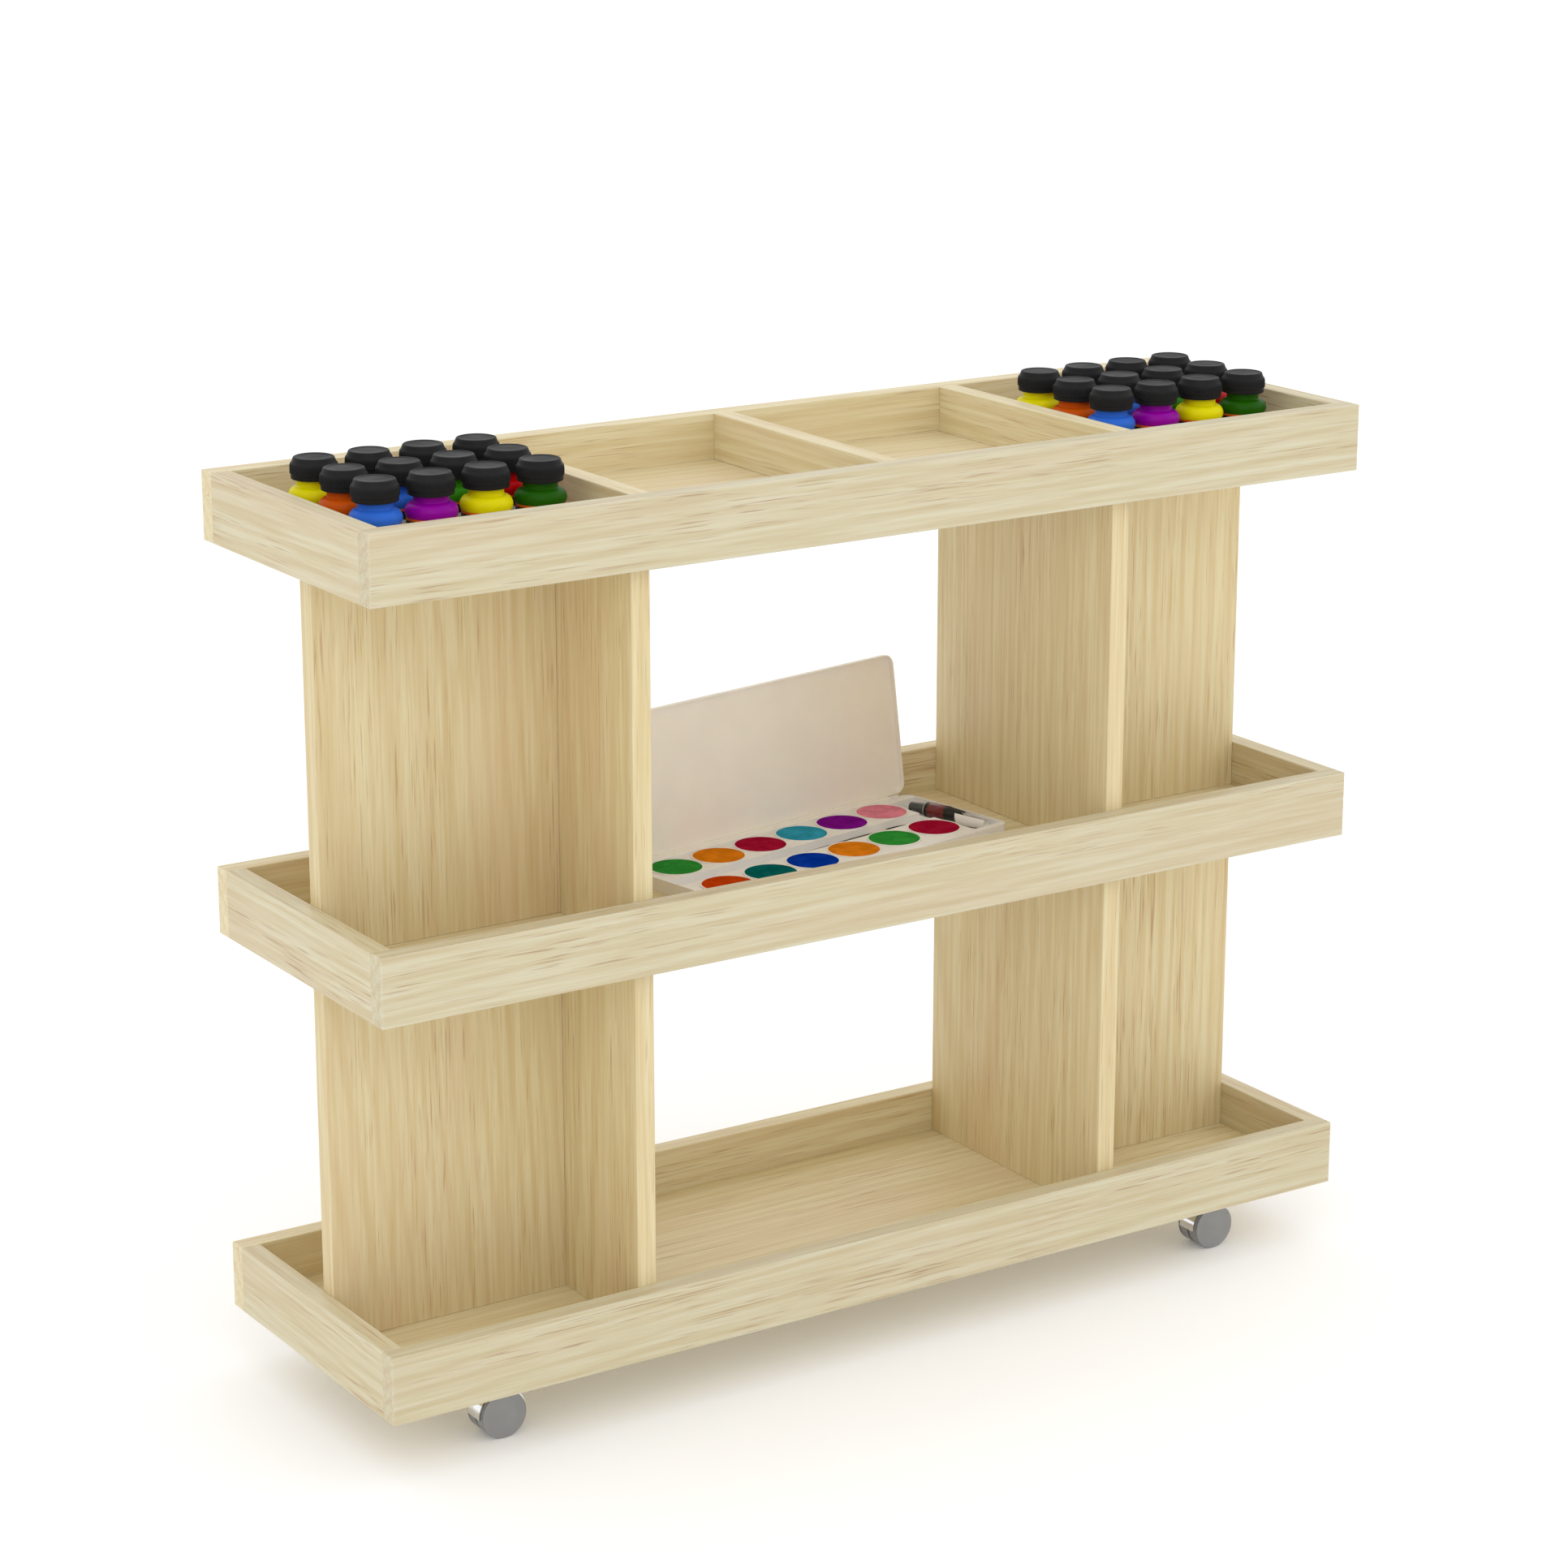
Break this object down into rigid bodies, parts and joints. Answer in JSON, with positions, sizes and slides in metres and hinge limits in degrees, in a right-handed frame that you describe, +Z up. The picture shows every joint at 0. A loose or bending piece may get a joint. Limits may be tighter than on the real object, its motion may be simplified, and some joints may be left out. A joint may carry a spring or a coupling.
{
  "type": "rolling paint rack",
  "caption": "Tiered wooden paint rack on swivel casters: shallow rimmed trays on T-shaped uprights, with paint bottles in the divided top tray and an open palette.",
  "frame": {"origin": "centre of the footprint, on the floor", "axes": "+X along the length to the right, +Y towards the back, +Z up"},
  "size_m": [1, 0.3, 0.825],
  "materials": {
    "pale_wood": "pale straight-grained wood under a thin matt varnish",
    "dowel_wood": "bare beech",
    "zinc_steel": "zinc plated",
    "chrome_hood": "bright",
    "wheel_grey": "satin moulded nylon",
    "paint_blue": "smooth moulded, satin",
    "paint_purple": "smooth moulded, satin",
    "paint_yellow": "smooth moulded, satin",
    "paint_dark_green": "smooth moulded, satin",
    "paint_light_green": "smooth moulded, satin",
    "paint_orange": "smooth moulded, satin",
    "paint_red": "smooth moulded, satin",
    "cap_black": "ribbed, matt",
    "palette_white": "smooth moulded",
    "lid_white": "milky",
    "pan_paint": "dried paint, a different colour in each pan",
    "brush_black": "lacquered handle",
    "marker_red": "dark red barrel with black ends"
  },
  "bodies": {
    "root": {"bottom_front_board": "pale_wood", "bottom_back_board": "pale_wood", "bottom_left_end": "pale_wood", "bottom_right_end": "pale_wood", "bottom_base": "pale_wood", "middle_front_board": "pale_wood", "middle_back_board": "pale_wood", "middle_left_end": "pale_wood", "middle_right_end": "pale_wood", "middle_base": "pale_wood", "top_front_board": "pale_wood", "top_back_board": "pale_wood", "top_left_end": "pale_wood", "top_right_end": "pale_wood", "top_base": "pale_wood", "left_divider": "pale_wood", "middle_divider": "pale_wood", "right_divider": "pale_wood", "lower_left_cross_panel": "pale_wood", "lower_left_centre_panel": "pale_wood", "lower_right_cross_panel": "pale_wood", "lower_right_centre_panel": "pale_wood", "upper_left_cross_panel": "pale_wood", "upper_left_centre_panel": "pale_wood", "upper_right_cross_panel": "pale_wood", "upper_right_centre_panel": "pale_wood", "tray_dowels": "dowel_wood", "upright_dowels": "dowel_wood", "panel_screws": "zinc_steel", "caster_plates": "zinc_steel", "caster_screws": "zinc_steel", "blue_bottles": "paint_blue", "purple_bottles": "paint_purple", "yellow_bottles": "paint_yellow", "dark_green_bottles": "paint_dark_green", "light_green_bottles": "paint_light_green", "orange_bottles": "paint_orange", "red_bottles": "paint_red", "bottle_caps": "cap_black", "palette_base": "palette_white", "palette_paints": "pan_paint", "paint_brush": "brush_black", "marker_pen": "marker_red"},
    "front_left_caster": {"front_left_hood": "chrome_hood", "front_left_axle": "zinc_steel"},
    "front_left_outer": {"front_left_outer_wheel": "wheel_grey"},
    "front_left_inner": {"front_left_inner_wheel": "wheel_grey"},
    "front_right_caster": {"front_right_hood": "chrome_hood", "front_right_axle": "zinc_steel"},
    "front_right_outer": {"front_right_outer_wheel": "wheel_grey"},
    "front_right_inner": {"front_right_inner_wheel": "wheel_grey"},
    "back_left_caster": {"back_left_hood": "chrome_hood", "back_left_axle": "zinc_steel"},
    "back_left_outer": {"back_left_outer_wheel": "wheel_grey"},
    "back_left_inner": {"back_left_inner_wheel": "wheel_grey"},
    "back_right_caster": {"back_right_hood": "chrome_hood", "back_right_axle": "zinc_steel"},
    "back_right_outer": {"back_right_outer_wheel": "wheel_grey"},
    "back_right_inner": {"back_right_inner_wheel": "wheel_grey"},
    "palette_lid": {"palette_lid": "lid_white"}
  },
  "joints": [
    {"name": "front_left_swivel", "type": "hinge", "parent": "root", "child": "front_left_caster", "pos_m": [-0.384, -0.099, 0.049], "axis": [0, 0, 1], "continuous": true},
    {"name": "front_left_outer_roll", "type": "hinge", "parent": "front_left_caster", "child": "front_left_outer", "pos_m": [-0.376, -0.099, 0.021], "axis": [0, 1, 0], "continuous": true},
    {"name": "front_left_inner_roll", "type": "hinge", "parent": "front_left_caster", "child": "front_left_inner", "pos_m": [-0.376, -0.099, 0.021], "axis": [0, 1, 0], "continuous": true},
    {"name": "front_right_swivel", "type": "hinge", "parent": "root", "child": "front_right_caster", "pos_m": [0.384, -0.099, 0.049], "axis": [0, 0, 1], "continuous": true},
    {"name": "front_right_outer_roll", "type": "hinge", "parent": "front_right_caster", "child": "front_right_outer", "pos_m": [0.392, -0.099, 0.021], "axis": [0, 1, 0], "continuous": true},
    {"name": "front_right_inner_roll", "type": "hinge", "parent": "front_right_caster", "child": "front_right_inner", "pos_m": [0.392, -0.099, 0.021], "axis": [0, 1, 0], "continuous": true},
    {"name": "back_left_swivel", "type": "hinge", "parent": "root", "child": "back_left_caster", "pos_m": [-0.384, 0.099, 0.049], "axis": [0, 0, 1], "continuous": true},
    {"name": "back_left_outer_roll", "type": "hinge", "parent": "back_left_caster", "child": "back_left_outer", "pos_m": [-0.376, 0.099, 0.021], "axis": [0, 1, 0], "continuous": true},
    {"name": "back_left_inner_roll", "type": "hinge", "parent": "back_left_caster", "child": "back_left_inner", "pos_m": [-0.376, 0.099, 0.021], "axis": [0, 1, 0], "continuous": true},
    {"name": "back_right_swivel", "type": "hinge", "parent": "root", "child": "back_right_caster", "pos_m": [0.384, 0.099, 0.049], "axis": [0, 0, 1], "continuous": true},
    {"name": "back_right_outer_roll", "type": "hinge", "parent": "back_right_caster", "child": "back_right_outer", "pos_m": [0.392, 0.099, 0.021], "axis": [0, 1, 0], "continuous": true},
    {"name": "back_right_inner_roll", "type": "hinge", "parent": "back_right_caster", "child": "back_right_inner", "pos_m": [0.392, 0.099, 0.021], "axis": [0, 1, 0], "continuous": true},
    {"name": "palette_lid_hinge", "type": "hinge", "parent": "root", "child": "palette_lid", "pos_m": [0.0098, 0.06967, 0.4288], "axis": [0.9848, 0.1736, 0], "range_deg": [0, 98]}
  ]
}
